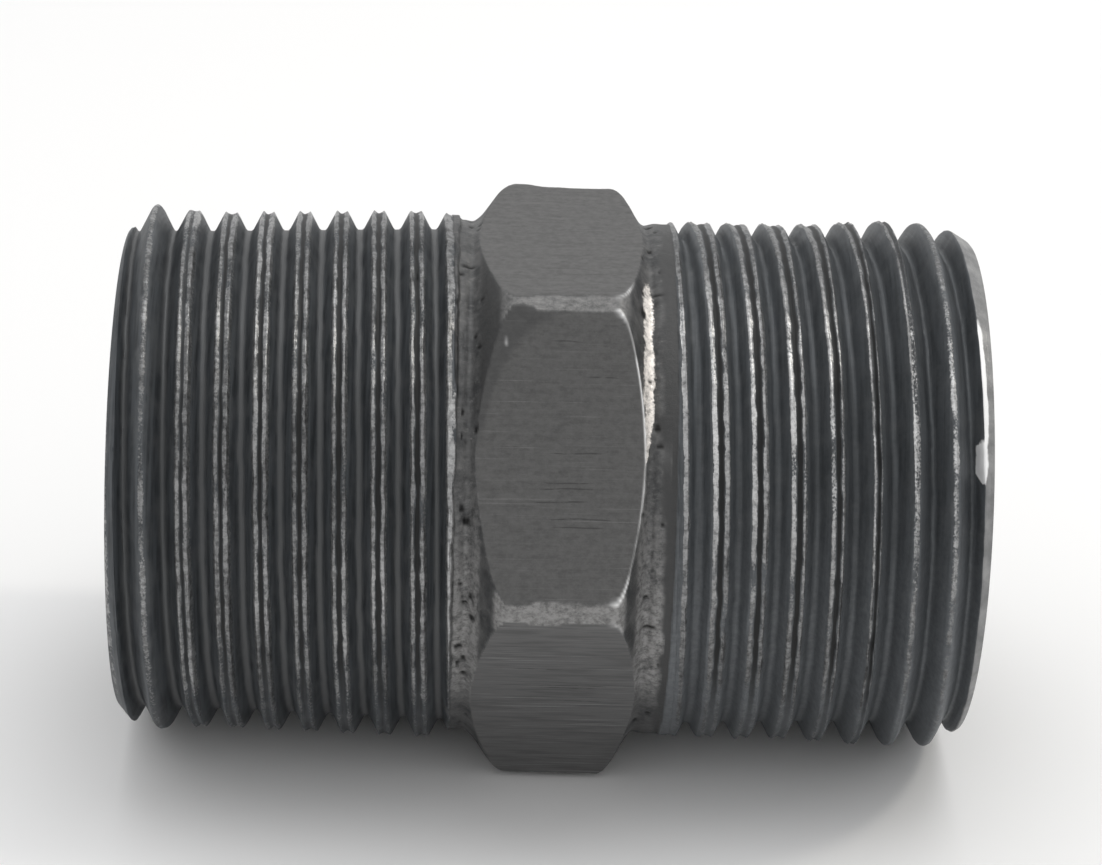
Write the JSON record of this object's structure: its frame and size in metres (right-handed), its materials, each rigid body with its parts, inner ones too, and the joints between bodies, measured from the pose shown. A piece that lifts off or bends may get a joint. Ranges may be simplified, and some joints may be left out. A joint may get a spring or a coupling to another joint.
{
  "type": "hex nipple",
  "caption": "Straight steel pipe nipple with male taper threads at both ends, a hexagonal spanner collar between them and a through bore.",
  "frame": {"origin": "on the axis, at the middle of the hexagonal collar", "axes": "+X along the axis towards the right end; two of the six spanner flats face +Z and -Z, and two corners point along +Y and -Y"},
  "size_m": [0.0524, 0.0368, 0.0326],
  "materials": {
    "body_steel": "milled flats and forging skin, oiled",
    "thread_steel": "rolled thread, dark and oiled, bright on the crest edges"
  },
  "bodies": {
    "root": {"hex_body": "body_steel", "left_thread": "thread_steel", "right_thread": "thread_steel"}
  },
  "joints": []
}
